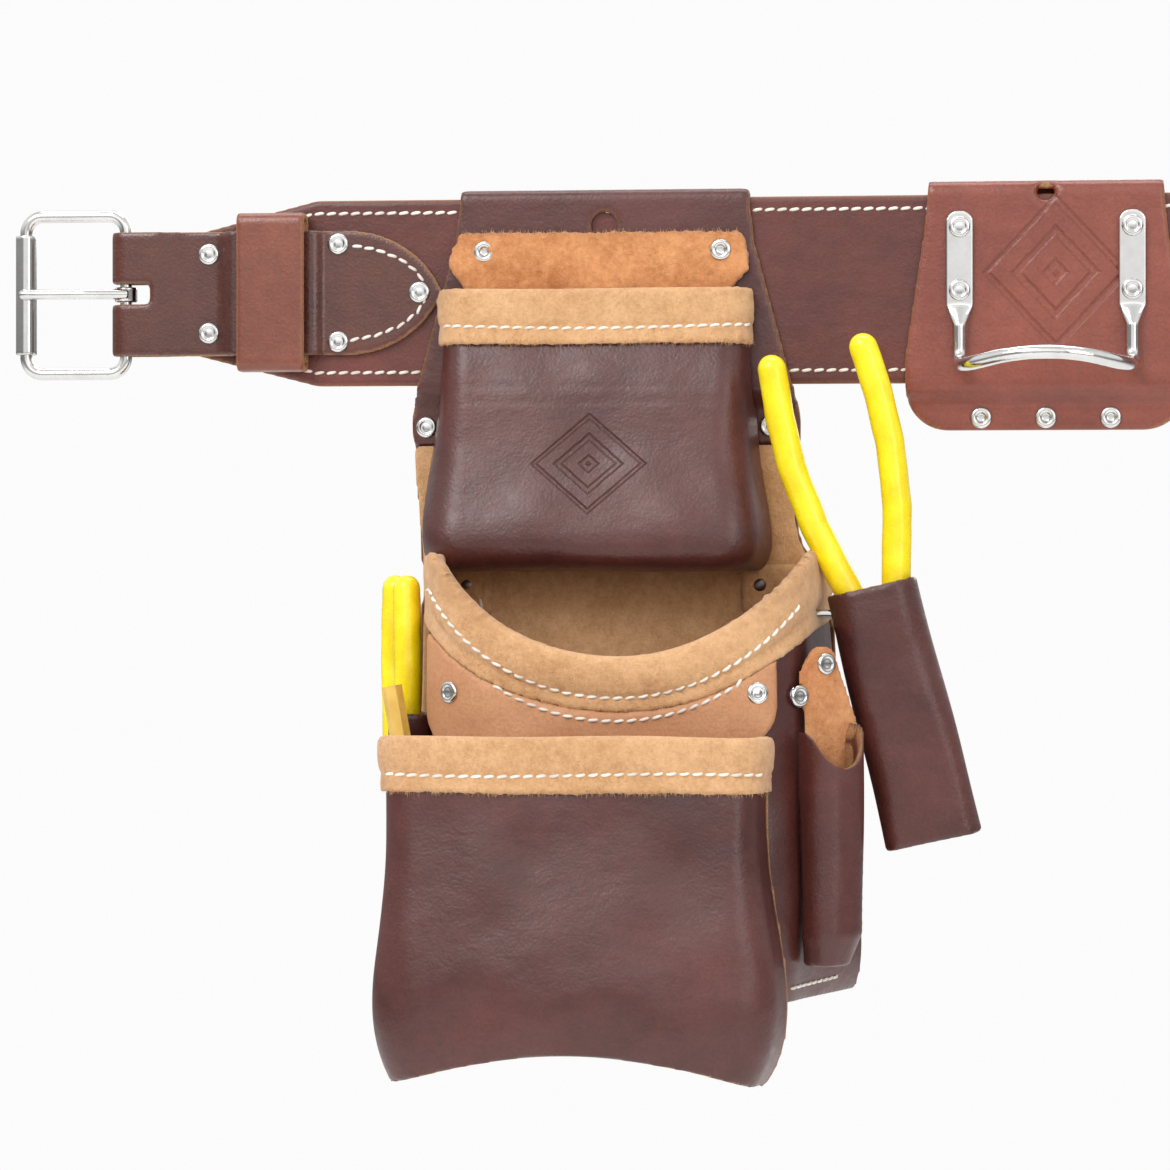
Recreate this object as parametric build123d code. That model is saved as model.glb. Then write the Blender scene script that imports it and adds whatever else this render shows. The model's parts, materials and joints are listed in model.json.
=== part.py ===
from build123d import *
import math
import os

# Leather tool belt: a 3 inch belt with a 2 inch roller buckle, a nail bag that holds
# pliers and a pencil, and a hammer holder.
# Frame: +Z up, +X along the belt, the wearer behind (+Y), the belt's face toward -Y.
# Origin: middle of the belt's length and height, on the rear plane that meets the wearer.
# All dimensions in millimetres.

# Leather and hardware
LEATHER = 3.0
SUEDE = 1.5
GAP = 0.1
RIVET_HEAD_R = 4.3
RIVET_SHANK_R = 1.7
RIVET_HOLE_R = 1.75
WASHER_R = 3.5
WASHER_T = 0.8

# Belt
BELT_HEIGHT = 76.2
BELT_SHOULDER_X = 297.0
BELT_END_X = 347.0
BELT_BACK_Y = -3.4
LINING_FRONT_Y = BELT_BACK_Y - LEATHER
BELT_FRONT_Y = LINING_FRONT_Y - LEATHER
STRAP_HALF = 25.4
FOLD_END_X = -331.3
PATCH_SHOULDER_X = 284.0
PATCH_TIP_X = 245.0
TONGUE_END_X = 545.0
TONGUE_HOLE_X = 400.0
TONGUE_HOLE_PITCH = 25.4
TONGUE_HOLE_R = 3.0
PATCH_RIVETS = ((288.0, 20.0), (254.4, 0.0), (288.0, -20.0))
END_RIVETS = ((341.7, 16.2), (341.7, -16.2))

# Buckle
BAR_X = -377.0
BAR_Y = BELT_FRONT_Y
WIRE_R = 2.5
BUCKLE_REACH = 42.0
BUCKLE_HEIGHT = 65.0
BUCKLE_CORNER_R = 7.0
ROLLER_R = 4.3
ROLLER_LENGTH = 49.0
PRONG_R = 2.1
PRONG_RING_R = 4.6

# Keeper
KEEPER_X = (-328.5, -300.5)
KEEPER_HALF = 32.4
TONGUE_ROOM = 4.4

# Nail bag
BAG_X = -178.5
BAG_TOP_Z = 41.5
FLAP_INNER_Y = BELT_FRONT_Y - 0.4
PANEL_BOTTOM_Z = -284.0
TUNNEL_FLOOR_Z = -39.2
TAIL_END_Z = -62.0
TAIL_FRONT_Y = -2 * LEATHER - 0.15
HANG_HOLE = (BAG_X, 26.8)
TUNNEL_RIVETS = ((-252.3, -55.0), (-111.5, -55.0))
TAB_RIVETS = ((-227.2, 16.0), (-130.8, 16.0))
RIM_RIVETS = ((-235.6, -119.6), (-115.2, -119.6))
POUCH_BACK_Y = -6.3

# Pliers: right pair leans in its holder, left pair stands upright
RIGHT_TILT = 13.5
RIGHT_MOUTH = (-68.4, -40.6, -120.0)
LEFT_TURN = -68.0
LEFT_MOUTH = (-256.9, -43.6, -170.0)

# Pencil in its sleeve
PENCIL_MOUTH = (-252.0, -72.0, -185.0)
PENCIL_TILT = 10.0

# Hammer holder
HOLDER_TOP_Z = 43.5
HOLDER_BOTTOM_Z = -57.0
HOLDER_RIVETS = ((-26.0, -52.0), (0.0, -52.0), (26.0, -52.0))
LOOP_TAB_X = 34.5
LOOP_RIVET_Z = (24.5, -1.0)
LOOP_WIRE_R = 2.9
LOOP_TAB_T = 2.2

PARTS = {}


def plate(outline, y_back, thickness=LEATHER):
    """Sheet cut to an X-Z outline, rear face at y_back."""
    return extrude(Plane.XZ.offset(-y_back) * outline, amount=thickness)


def closed_outline(points, radius):
    """Closed outline with rounded corners; radius is one value or one per point."""
    return make_face(FilletPolyline(*points, radius=radius, close=True))


def strip(points, radii, thickness):
    """Band between a bent path and its right-hand side; radii are those of each bend's inside."""
    path = [Vector(*point) for point in points]
    heads = [(b - a).normalized() for a, b in zip(path, path[1:])]
    rights = [Vector(head.Y, -head.X) for head in heads]
    far = [path[0] + rights[0] * thickness]
    near_radii, far_radii = [], []
    for corner, before, after, radius in zip(path[1:-1], heads, heads[1:], radii):
        right_before = Vector(before.Y, -before.X)
        right_after = Vector(after.Y, -after.X)
        far.append(corner + (right_before + right_after) * (thickness / (1 + right_before.dot(right_after))))
        turns_left = before.X * after.Y - before.Y * after.X > 0
        near_radii.append(radius if turns_left else radius + thickness)
        far_radii.append(radius + thickness if turns_left else radius)
    far.append(path[-1] + rights[-1] * thickness)
    near_edge = FilletPolyline(*path, radius=near_radii)
    far_edge = FilletPolyline(*far, radius=far_radii)
    return make_face(near_edge + far_edge + Line(path[0], far[0]) + Line(path[-1], far[-1]))


def sheet_xy(points, radii, z_half):
    """Sheet bent along a path seen from above, standing z_half either side of Z = 0."""
    return extrude(Plane.XY.offset(-z_half) * strip(points, radii, LEATHER), amount=2 * z_half)


def sheet_yz(points, radii, x_range, thickness=LEATHER):
    """Sheet bent along a path seen from the side, spanning x_range."""
    return extrude(Plane.YZ.offset(x_range[0]) * strip(points, radii, thickness), amount=x_range[1] - x_range[0])


def region_yz(points, x_range=(-320.0, 0.0)):
    """Block seen from the side, used to trim pouches."""
    return extrude(Plane.YZ.offset(x_range[0]) * make_face(Polyline(*points, close=True)),
                   amount=x_range[1] - x_range[0])


def bar_y(x, z, radius, y_front, y_back):
    """Cylinder along Y."""
    return Pos(x, (y_front + y_back) / 2, z) * Rot(90, 0, 0) * Cylinder(radius, y_back - y_front)


def drill(shape, places, y_front, y_back, radius=RIVET_HOLE_R):
    """Holes along Y through a sheet."""
    for x, z in places:
        shape -= bar_y(x, z, radius, y_front - 1, y_back + 1)
    return shape


def counterbore(shape, places, y_back):
    """Pockets in a rear face that take rivet washers flush."""
    for x, z in places:
        shape -= bar_y(x, z, WASHER_R + GAP, y_back - WASHER_T - 0.05, y_back + 0.5)
    return shape


def rivet(grip, sunk=False):
    """Rivet along Y: domed head in front of y = 0, shank, and a washer behind the leather."""
    washer_y = grip - WASHER_T if sunk else grip
    dome_h = 1.1
    dome_r = (RIVET_HEAD_R ** 2 + dome_h ** 2) / (2 * dome_h)
    rim = bar_y(0, 0, RIVET_HEAD_R, -0.5, 0)
    dome = bar_y(0, 0, RIVET_HEAD_R, -0.5 - dome_h, -0.5) & Pos(0, dome_r - dome_h - 0.5, 0) * Sphere(dome_r)
    return rim + dome + bar_y(0, 0, RIVET_SHANK_R, -0.1, washer_y + 0.1) + bar_y(
        0, 0, WASHER_R, washer_y, washer_y + WASHER_T)


def rivets(places, y_front, y_back, sunk=False):
    """One rivet at each X-Z place, gripping the leather between two Y planes."""
    return Compound(children=[Pos(x, y_front, z) * rivet(y_back - y_front, sunk) for x, z in places])


def mirrored(places):
    """The same X-Z places on the other side of X = 0."""
    return tuple((-x, z) for x, z in places)


# ---------------------------------------------------------------- belt

def belt_outline(left_end):
    half = BELT_HEIGHT / 2
    slope = (half - STRAP_HALF) / (BELT_END_X - BELT_SHOULDER_X)
    left_half = half - slope * (-BELT_SHOULDER_X - left_end)
    return make_face(Polyline(
        (left_end, left_half), (-BELT_SHOULDER_X, half), (BELT_SHOULDER_X, half), (BELT_END_X, STRAP_HALF),
        (BELT_END_X, -STRAP_HALF), (BELT_SHOULDER_X, -half), (-BELT_SHOULDER_X, -half), (left_end, -left_half),
        close=True))


def pointed_end(far_x):
    """Outline of a strap end: straight edges, then two arcs that meet in a point."""
    reach = PATCH_SHOULDER_X - PATCH_TIP_X
    radius = (reach ** 2 + STRAP_HALF ** 2) / (2 * STRAP_HALF)
    bow = math.asin(reach / radius) / 2
    mid_x = PATCH_SHOULDER_X - radius * math.sin(bow)
    mid_z = STRAP_HALF - radius * (1 - math.cos(bow))
    edges = Polyline((PATCH_SHOULDER_X, STRAP_HALF), (far_x, STRAP_HALF), (far_x, -STRAP_HALF),
                     (PATCH_SHOULDER_X, -STRAP_HALF))
    upper = ThreePointArc((PATCH_SHOULDER_X, STRAP_HALF), (mid_x, mid_z), (PATCH_TIP_X, 0))
    lower = ThreePointArc((PATCH_SHOULDER_X, -STRAP_HALF), (mid_x, -mid_z), (PATCH_TIP_X, 0))
    return make_face(edges + upper + lower)


def make_belt():
    left_patch = mirrored(PATCH_RIVETS)
    left_end = mirrored(END_RIVETS)
    body_holes = left_patch + PATCH_RIVETS + END_RIVETS
    PARTS["belt_lining"] = drill(plate(belt_outline(-BELT_END_X), BELT_BACK_Y),
                                 body_holes + left_end, LINING_FRONT_Y, BELT_BACK_Y)
    PARTS["belt_outer_layer"] = drill(plate(belt_outline(FOLD_END_X), LINING_FRONT_Y),
                                      body_holes, BELT_FRONT_Y, LINING_FRONT_Y)

    # Buckle strap: folded round the buckle bar, raised over the keeper, pointed patch on the belt
    bar_gap = WIRE_R + 0.15
    lift_y = BELT_FRONT_Y - LEATHER - 0.25
    face_y = BELT_FRONT_Y - 0.05
    strap = sheet_xy([
        (FOLD_END_X - 0.1, BELT_FRONT_Y), (-350, BELT_FRONT_Y), (-364, BAR_Y + bar_gap),
        (BAR_X - bar_gap, BAR_Y + bar_gap), (BAR_X - bar_gap, BAR_Y - bar_gap), (-364, BAR_Y - bar_gap),
        (-350, face_y), (-335.8, face_y), (-331.8, lift_y), (-298.5, lift_y), (-294.6, face_y),
        (-PATCH_TIP_X + 1, face_y)],
        [5, 5, bar_gap - 0.02, bar_gap - 0.02, 5, 5, 1, 1, 1, 1], STRAP_HALF)
    outline = mirror(pointed_end(-BAR_X + 20), about=Plane.YZ)
    strap &= plate(outline, 0, 30)
    strap -= Pos(BAR_X + 1, BAR_Y, 0) * Box(20, 14, 8.4)
    strap = drill(strap, left_patch + left_end, -20, BELT_BACK_Y)
    PARTS["buckle_strap"] = strap
    patch_front = face_y - LEATHER
    PARTS["buckle_end_rivets"] = rivets(left_patch + left_end, patch_front, BELT_BACK_Y, sunk=True)

    tongue = plate(pointed_end(TONGUE_END_X), face_y)
    tongue = fillet(tongue.edges().filter_by(Axis.Y).sort_by(Axis.X)[-2:], 16)
    tongue = drill(tongue, PATCH_RIVETS + END_RIVETS, -20, BELT_BACK_Y)
    hole_places = [(TONGUE_HOLE_X + i * TONGUE_HOLE_PITCH, 0) for i in range(5)]
    PARTS["tongue_strap"] = drill(tongue, hole_places, -20, BELT_BACK_Y, TONGUE_HOLE_R)
    PARTS["tongue_rivets"] = rivets(PATCH_RIVETS + END_RIVETS, patch_front, BELT_BACK_Y, sunk=True)
    PARTS["belt_lining"] = counterbore(PARTS["belt_lining"], body_holes + left_end, BELT_BACK_Y)


# ---------------------------------------------------------------- buckle and keeper

def make_buckle():
    plane = Plane.XZ.offset(-BAR_Y)
    loop = plane * Pos(BAR_X - BUCKLE_REACH / 2, 0) * RectangleRounded(BUCKLE_REACH, BUCKLE_HEIGHT, BUCKLE_CORNER_R)
    path = loop.wire()
    PARTS["buckle_frame"] = sweep(Plane(path @ 0, z_dir=path % 0) * Circle(WIRE_R), path=path)

    roller_x = BAR_X - BUCKLE_REACH
    roller = Cylinder(ROLLER_R, ROLLER_LENGTH) - Cylinder(WIRE_R + 0.1, ROLLER_LENGTH)
    PARTS["buckle_roller"] = Pos(roller_x, BAR_Y, 0) * roller

    # The prong hangs on the inner bar and its arm rests on the roller
    rest_y = BAR_Y - ROLLER_R - PRONG_R - 0.3
    arm_line = FilletPolyline((BAR_X + 1.5, BAR_Y - 3.6, 0), (BAR_X - 16, rest_y + 0.1, 0), (roller_x + 6, rest_y, 0),
                              (roller_x + 0.5, rest_y + 0.3, 0), radius=9)
    prong = sweep(Plane(arm_line @ 0, z_dir=arm_line % 0) * Circle(PRONG_R), path=arm_line)
    prong += Pos(arm_line @ 1) * Sphere(PRONG_R)
    prong += Pos(BAR_X, BAR_Y, 0) * Cylinder(PRONG_RING_R, 6)
    PARTS["buckle_prong"] = prong - Pos(BAR_X, BAR_Y, 0) * Cylinder(WIRE_R + 0.1, 6)


def make_keeper():
    back_y = BELT_FRONT_Y - GAP
    inner_back_y = back_y - LEATHER
    inner_front_y = BELT_FRONT_Y - 2 * LEATHER - 0.25 - TONGUE_ROOM
    front_y = inner_front_y - LEATHER
    outer = Pos((back_y + front_y) / 2, 0) * RectangleRounded(back_y - front_y, 2 * KEEPER_HALF, 4.0)
    inner = Pos((inner_back_y + inner_front_y) / 2, 0) * RectangleRounded(
        inner_back_y - inner_front_y, 2 * (KEEPER_HALF - LEATHER), 1.2)
    PARTS["keeper_loop"] = extrude(Plane.YZ.offset(KEEPER_X[0]) * (outer - inner), amount=KEEPER_X[1] - KEEPER_X[0])


# ---------------------------------------------------------------- nail bag, hanging panel

def make_bag_panel():
    inner_top = BAG_TOP_Z - LEATHER
    panel = sheet_yz([(-LEATHER, PANEL_BOTTOM_Z), (-LEATHER, inner_top), (FLAP_INNER_Y, inner_top),
                      (FLAP_INNER_Y, TUNNEL_FLOOR_Z), (-LEATHER - 0.15, TUNNEL_FLOOR_Z - 8.3),
                      (-LEATHER - 0.15, TAIL_END_Z)],
                     [1.2, 1.2, 3, 3], (-275, -60))
    half_top = 58.5
    outline = closed_outline([
        (BAG_X - half_top, BAG_TOP_Z + 1), (BAG_X + half_top, BAG_TOP_Z + 1), (BAG_X + 61, 20), (BAG_X + 79.5, -50),
        (BAG_X + 79, -100), (BAG_X + 92, -124), (BAG_X + 106, PANEL_BOTTOM_Z - 1), (BAG_X - 85, PANEL_BOTTOM_Z - 1),
        (BAG_X - 76, -118), (BAG_X - 80, -50), (BAG_X - 61, 20)],
        [0.5, 0.5, 40, 30, 14, 30, 18, 18, 40, 30, 40])
    panel &= plate(outline, 1, 20)
    panel = drill(panel, [HANG_HOLE], FLAP_INNER_Y - LEATHER, FLAP_INNER_Y, 5.5)
    panel = drill(panel, TAB_RIVETS, FLAP_INNER_Y - LEATHER, FLAP_INNER_Y)
    panel = counterbore(panel, TAB_RIVETS, FLAP_INNER_Y)
    panel = drill(panel, TUNNEL_RIVETS + RIM_RIVETS, TAIL_FRONT_Y, 0)
    panel = counterbore(panel, TUNNEL_RIVETS + RIM_RIVETS, 0)
    PARTS["bag_hanging_panel"] = panel
    PARTS["tunnel_rivets"] = rivets(TUNNEL_RIVETS, TAIL_FRONT_Y, 0, sunk=True)

    lining = plate(closed_outline([
        (-258, TAIL_END_Z - 0.5), (-105, TAIL_END_Z - 0.5), (-100, -100), (-88, -126), (-78, PANEL_BOTTOM_Z + 1),
        (-259, PANEL_BOTTOM_Z + 1), (-253, -118)],
        [3, 3, 14, 30, 16, 16, 40]), -LEATHER - GAP)
    PARTS["bag_suede_lining"] = drill(lining, RIM_RIVETS, POUCH_BACK_Y, -LEATHER)


# ---------------------------------------------------------------- nail bag, pouches

def pouch_volume(stations, y_back, grow=0.0, floor=0.0, behind=0.0):
    """Loft of D-shaped sections. A station is (z, x_mid, width, y_front, taper, corner radius).

    grow swells every wall, floor lifts the lowest station, behind carries the sides straight back.
    """
    sections = []
    for number, (z, x_mid, width, y_front, taper, radius) in enumerate(stations):
        half = width / 2 + grow
        front = y_front - grow
        corners = [(x_mid - half, y_back), (x_mid - half + taper, front),
                   (x_mid + half - taper, front), (x_mid + half, y_back)]
        if behind:
            corners += [(x_mid + half, y_back + behind), (x_mid - half, y_back + behind)]
        section = make_face(Polyline(*corners, close=True))
        section = fillet(section.vertices().sort_by(Axis.Y)[:2], radius + grow)
        level = z + floor if number == len(stations) - 1 else z
        sections.append(Plane.XY.offset(level) * section)
    return loft(sections)


UPPER_STATIONS = (
    (4.0, -181.0, 127.0, -25.0, 3.0, 9.0),
    (-22.0, -181.5, 128.0, -28.5, 4.0, 11.0),
    (-60.0, -182.0, 133.0, -37.0, 5.0, 14.0),
    (-94.0, -182.0, 143.0, -46.0, 6.0, 16.0),
    (-107.0, -181.5, 142.0, -46.0, 7.0, 15.0),
    (-114.0, -181.5, 132.0, -37.0, 7.0, 13.0))
UPPER_BACK_Y = -9.3
UPPER_MOUTH_Z = -2.4

MAIN_STATIONS = (
    (-92.0, -169.0, 158.0, -84.0, 8.0, 36.0),
    (-130.0, -169.0, 163.0, -85.5, 10.0, 35.0),
    (-170.0, -167.5, 168.0, -86.5, 14.0, 32.0),
    (-220.0, -165.5, 174.0, -86.5, 20.0, 26.0),
    (-262.0, -163.5, 180.0, -84.5, 26.0, 20.0),
    (-283.0, -162.5, 172.0, -74.0, 25.0, 18.0))
MAIN_MOUTH_X = -166.5
MAIN_MOUTH_Z = -63.0
MAIN_MOUTH_R = 88.0
MAIN_MOUTH_SIDE_Z = -109.0
RIM_HEIGHT = 18.0
APRON_RIVET_Z = -161.5
APRON_RIVETS = ((-232.0, -82.7, -37.0), (-111.0, -86.9, 23.7))

# Nail-set sheath: its own frame on the bag's front right corner, and two rivets pinning its tab there
SHEATH_FRAME = Location((-88.4, -63.1, 0)) * Rot(0, 0, 40)
SHEATH_RIVETS = ((1.5, -150.5), (-11.5, -163.0))

FRONT_STATIONS = (
    (-170.0, -180.7, 146.0, -113.0, 2.0, 11.0),
    (-200.0, -180.5, 148.0, -117.0, 3.0, 13.0),
    (-250.0, -180.0, 153.0, -123.0, 4.0, 15.0),
    (-292.0, -179.5, 156.0, -124.0, 5.0, 16.0),
    (-316.0, -181.0, 140.0, -116.0, 5.0, 12.0))
FRONT_MOUTH_Z = -181.0
FRONT_BACK_Y = -90.0


def block_above(z):
    return region_yz([(-140, z), (20, z), (20, z + 200), (-140, z + 200)])


def block_below(z):
    return region_yz([(-140, z), (20, z), (20, z - 200), (-140, z - 200)])


def above_main_mouth(drop):
    """Everything above the main pouch's dished mouth, with its edge moved drop further down."""
    dish = bar_y(MAIN_MOUTH_X, MAIN_MOUTH_Z, MAIN_MOUTH_R + drop, -140, 20)
    return dish + block_above(MAIN_MOUTH_SIDE_Z - drop)


def behind_upper_back():
    """Everything behind the front face of the upper pouch's back."""
    return region_yz([(20, 60), (-15.95, 60), (-15.95, -43.0), (-9.3, -52.2), (-9.3, -140), (20, -140)])


def binding(stations, y_back, mouth_z, low_z):
    """Suede edge binding: a band round the outside of a pouch and a cap over its leather edge."""
    outside = pouch_volume(stations, y_back, SUEDE + GAP)
    band = outside - pouch_volume(stations, y_back, GAP)
    cap = outside - pouch_volume(stations, y_back, -LEATHER - GAP, behind=10) - block_below(mouth_z + GAP)
    return band + cap - block_above(mouth_z + SUEDE) - block_below(low_z)


def make_upper_pouch():
    rear = [(-12.9, 23.7), (-12.9, -41.2), (-6.25, -50.4), (-6.25, -112.5)]
    back = sheet_yz(rear, [5, 5], (-247, -112))
    outline = closed_outline([
        (-237, 23.7), (-122, 23.7), (-118.5, 9), (-128, -1), (-118, -8), (-113.5, -112.5), (-246, -112.5),
        (-246, -90), (-244, -8), (-234, -1), (-243, 11)],
        [3, 3, 5, 3, 4, 6, 6, 5, 4, 3, 5])
    back &= plate(outline, 1, 20)
    PARTS["upper_pouch_back"] = drill(back, TAB_RIVETS, -16, -12)
    PARTS["upper_pouch_rivets"] = rivets(TAB_RIVETS, -15.9, FLAP_INNER_Y, sunk=True)

    outer = pouch_volume(UPPER_STATIONS, UPPER_BACK_Y)
    inner = pouch_volume(UPPER_STATIONS, UPPER_BACK_Y, -LEATHER, LEATHER, behind=10)
    shell = outer - inner - behind_upper_back() - block_above(UPPER_MOUTH_Z)
    PARTS["upper_pouch_front"] = shell
    band = binding(UPPER_STATIONS, UPPER_BACK_Y, UPPER_MOUTH_Z, -22.0)
    PARTS["upper_pouch_binding"] = band - behind_upper_back()


def apron_rivet_frames():
    """Frames on the apron's rounded front corners, each facing straight out of the leather."""
    return [Location((x, y, APRON_RIVET_Z)) * Rot(0, 0, turn) for x, y, turn in APRON_RIVETS]


def make_main_pouch():
    outer = pouch_volume(MAIN_STATIONS, POUCH_BACK_Y)
    inner = pouch_volume(MAIN_STATIONS, POUCH_BACK_Y, -LEATHER, LEATHER, behind=10)
    upper_pouch = pouch_volume(UPPER_STATIONS, UPPER_BACK_Y, 0.3)
    shell = outer - inner - above_main_mouth(0) - upper_pouch

    rim = pouch_volume(MAIN_STATIONS, POUCH_BACK_Y, SUEDE + GAP)
    rim -= pouch_volume(MAIN_STATIONS, POUCH_BACK_Y, -LEATHER - SUEDE, behind=10)
    rim &= above_main_mouth(RIM_HEIGHT)
    rim -= above_main_mouth(-SUEDE) + shell
    # Its two ends turn onto the back wall as flat tabs
    tab_y = POUCH_BACK_Y - SUEDE / 2
    rim += Pos(-236.5, tab_y, -121) * Box(19, SUEDE, 17) + Pos(-107, tab_y, -121) * Box(28, SUEDE, 17)
    rim -= shell + upper_pouch
    PARTS["rim_rivets"] = rivets(RIM_RIVETS, POUCH_BACK_Y - SUEDE - 0.05, 0, sunk=True)

    # Apron: smooth leather over the front, hung under the rim, narrowing behind the front pouch
    apron = pouch_volume(MAIN_STATIONS, POUCH_BACK_Y, LEATHER + GAP) - pouch_volume(MAIN_STATIONS, POUCH_BACK_Y, GAP)
    apron &= plate(closed_outline([
        (-243, -130), (-104, -130), (-104, -172), (-118, -192), (-118, -270), (-232, -270), (-232, -192),
        (-243, -172)], [2, 2, 12, 16, 8, 8, 16, 12]), -50, 60)
    apron -= above_main_mouth(RIM_HEIGHT + 0.2)

    for frame in apron_rivet_frames():
        hole = frame * bar_y(0, 0, RIVET_HOLE_R, -2, 12)
        shell -= hole
        apron -= hole
    for _, place, turn, _ in holder_rivets():
        hole = Location(place) * Rot(0, 0, turn) * bar_y(0, 0, RIVET_HOLE_R, -20, 20)
        shell -= hole
        rim -= hole
    for x, z in SHEATH_RIVETS:
        shell -= SHEATH_FRAME * bar_y(x, z, WASHER_R + 0.15, -3, WASHER_T + 0.4)
    PARTS["main_pouch_shell"] = shell
    PARTS["main_pouch_rim"] = drill(rim, RIM_RIVETS, -9, POUCH_BACK_Y)
    PARTS["front_apron"] = apron
    grip = 2 * LEATHER + GAP + 0.7
    PARTS["apron_rivets"] = Compound(children=[frame * rivet(grip) for frame in apron_rivet_frames()])


def make_front_pouch():
    def arch(rise):
        edge = ThreePointArc((-262, -317 + rise), (-181, -299 + rise), (-98, -317 + rise))
        base = Polyline((-98, -317 + rise), (-98, -360), (-262, -360), (-262, -317 + rise))
        return plate(make_face(edge + base), -60, 80)

    outer = pouch_volume(FRONT_STATIONS, FRONT_BACK_Y) - arch(0)
    inner = pouch_volume(FRONT_STATIONS, FRONT_BACK_Y - LEATHER, -LEATHER, LEATHER) - arch(LEATHER)
    shell = outer - inner - block_above(FRONT_MOUTH_Z)
    PARTS["front_pouch_shell"] = shell
    PARTS["front_pouch_binding"] = binding(FRONT_STATIONS, FRONT_BACK_Y - LEATHER, FRONT_MOUTH_Z, -199.0)


# ---------------------------------------------------------------- small tool holders

def sleeve(mouth, floor, length, wall=2.6):
    """Tapered pocket hanging below its own z = 0: mouth and floor are (width, depth, corner radius)."""
    def section(size, z, shrink):
        width, depth, radius = size
        return Plane.XY.offset(z) * RectangleRounded(width - 2 * shrink, depth - 2 * shrink, radius - shrink)

    outer = loft([section(floor, -length, 0), section(mouth, 0, 0)])
    inner = loft([section(floor, -length, wall), section(mouth, 0, wall)])
    lid = Pos(0, 0, -length) * Box(80, 80, 2 * wall)
    return outer - (inner - lid)


def holder_rivets():
    """Rivets between a holder and the gusset: (name, place in the holder's wall, turn, washer spacing)."""
    return (("right_holder_rivet", (-81.8, -40.6, -131.0), 90.0, 16.4),
            ("left_holder_rivet", (-251.0, -42.0, -186.0), -90.0, 11.4))


def flat_rivet(span):
    """Rivet along Y with a thin washer at each end, span apart."""
    ends = bar_y(0, 0, WASHER_R, 0, WASHER_T) + bar_y(0, 0, WASHER_R, span - WASHER_T, span)
    return ends + bar_y(0, 0, RIVET_SHANK_R, 0.1, span - 0.1)


def make_holders():
    pliers_right = Location(RIGHT_MOUTH) * Rot(0, -RIGHT_TILT, 0) * sleeve((36.5, 26.5, 12), (39, 17, 7), 104)
    pliers_left = Location(LEFT_MOUTH) * Rot(0, 0, LEFT_TURN) * sleeve((42, 17.2, 6), (32, 16, 6), 102)
    bodies = {"right_holder_rivet": pliers_right, "left_holder_rivet": pliers_left}
    for name, place, turn, span in holder_rivets():
        frame = Location(place) * Rot(0, 0, turn)
        fastener = frame * flat_rivet(span)
        bodies[name] -= frame * (bar_y(0, 0, RIVET_HOLE_R, -2, 8) + bar_y(0, 0, WASHER_R + 0.05, -2, WASHER_T))
        PARTS[name] = fastener
    PARTS["right_pliers_holder"] = bodies["right_holder_rivet"]
    PARTS["left_pliers_holder"] = bodies["left_holder_rivet"]

    frame = Location(PENCIL_MOUTH) * Rot(0, -PENCIL_TILT, 0)
    tube = Pos(0, 0, -35) * (Cylinder(6.2, 70) - Cylinder(4.4, 70))
    reach = Location(LEFT_MOUTH) * Rot(0, 0, LEFT_TURN) * Pos(0, 0, -51) * Box(42.2, 17.4, 130)
    PARTS["pencil_sleeve"] = frame * tube - reach
    pencil_r = 7.2 / math.sqrt(3)
    wood = extrude(RegularPolygon(pencil_r, 6), amount=96) - Cylinder(1.05, 400)
    lead = Pos(0, 0, 48) * Cylinder(1.05, 96)
    PARTS["pencil_wood"] = frame * Pos(0, 0, -70) * wood
    PARTS["pencil_lead"] = frame * Pos(0, 0, -70) * lead


def make_sheath():
    """Nail-set sheath: a riveted tab and a welted tube below it."""
    frame = SHEATH_FRAME
    back = plate(closed_outline([
        (-4, -144), (5, -144), (17, -172), (17, -258), (10, -268), (-12, -268), (-17, -258), (-17, -160)],
        [3, 4, 8, 8, 5, 5, 8, 9]), 0, 2.6)
    bag = pouch_volume(MAIN_STATIONS, POUCH_BACK_Y, SUEDE + 2 * GAP)
    back = frame * back - bag

    def section(z, half, depth):
        face = make_face(Polyline((-half, -2.7), (-half, -2.7 - depth), (half, -2.7 - depth), (half, -2.7), close=True))
        return Plane.XY.offset(z) * fillet(face.vertices().sort_by(Axis.Y)[:2], min(half, depth) * 0.85)

    def tube(shrink, floor):
        return loft([section(-170, 13.5 - shrink, 16 - shrink), section(-256, 13.5 - shrink, 16 - shrink),
                     section(-268 + floor, 9 - shrink, 11 - shrink)], ruled=True)

    shell = tube(0, 0) - tube(2.6, 2.6) - Pos(0, -10, -160) * Box(60, 40, 2 * 18)
    welt = Pos(14.8, -5.0, -218) * Box(4.4, 4.6, 74)
    PARTS["sheath_tube"] = frame * (shell + welt) - bag
    holes = Compound(children=[bar_y(x, z, RIVET_HOLE_R, -6, 3) for x, z in SHEATH_RIVETS])
    PARTS["sheath_back"] = back - frame * holes
    PARTS["sheath_rivets"] = frame * Compound(children=[Pos(x, -2.6, z) * rivet(2.6) for x, z in SHEATH_RIVETS])


# ---------------------------------------------------------------- pliers and pencil

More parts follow.
